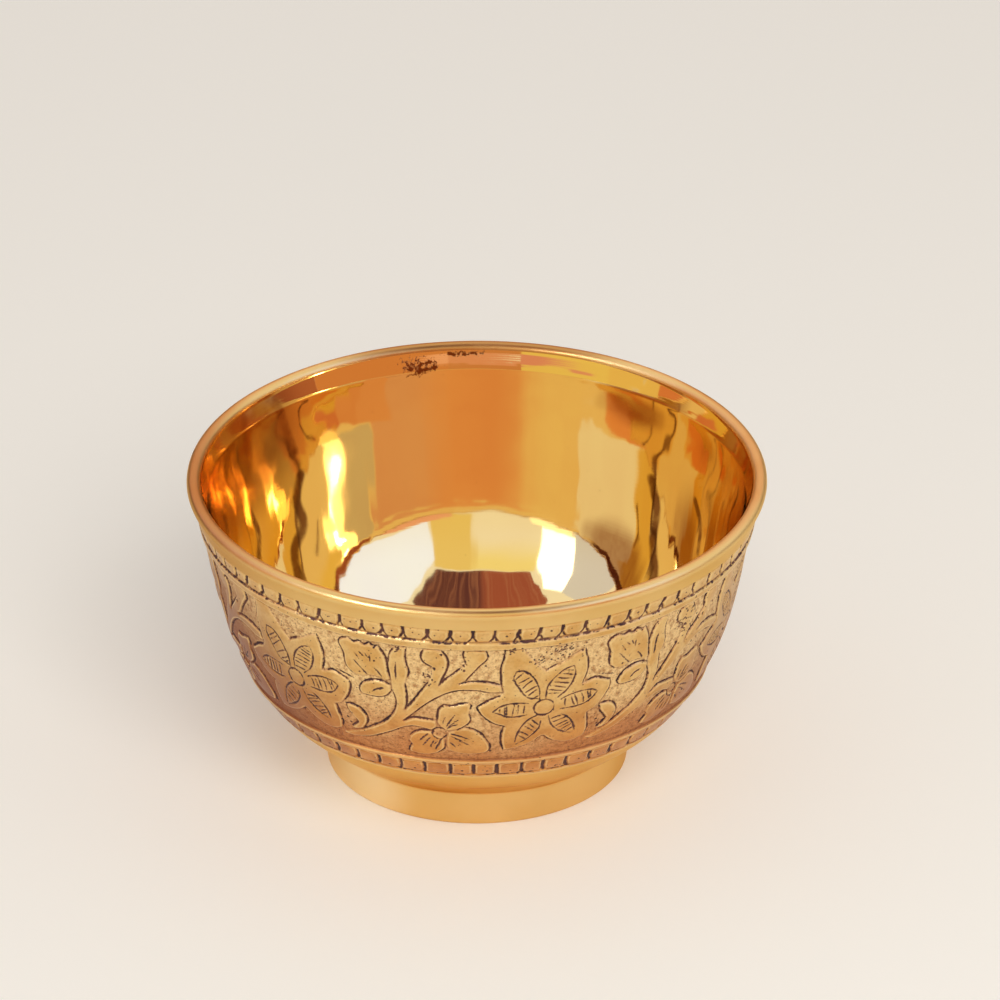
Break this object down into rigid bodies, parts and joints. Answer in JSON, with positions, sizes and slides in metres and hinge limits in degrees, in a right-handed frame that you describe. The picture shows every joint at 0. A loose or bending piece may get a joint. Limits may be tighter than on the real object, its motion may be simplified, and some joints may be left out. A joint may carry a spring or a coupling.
{
  "type": "offering bowl",
  "caption": "Footed brass offering bowl with a flared rounded rim, turned border lines round its wall and a low brazed foot ring.",
  "frame": {"origin": "centre of the face that the foot ring rests on", "axes": "+Z along the bowl's axis of revolution, up to the mouth; the picture's camera looks along +Y"},
  "size_m": [0.11, 0.11, 0.0605],
  "materials": {
    "chased_brass": "cast brass, turned and polished inside and on the rim, chased outside with darkened lines",
    "turned_brass": "turned, satin polish",
    "brazing_brass": "coppery brazing metal, dressed flush"
  },
  "bodies": {
    "root": {"bowl_body": "chased_brass", "foot_ring": "turned_brass", "braze_seam": "brazing_brass"}
  },
  "joints": []
}
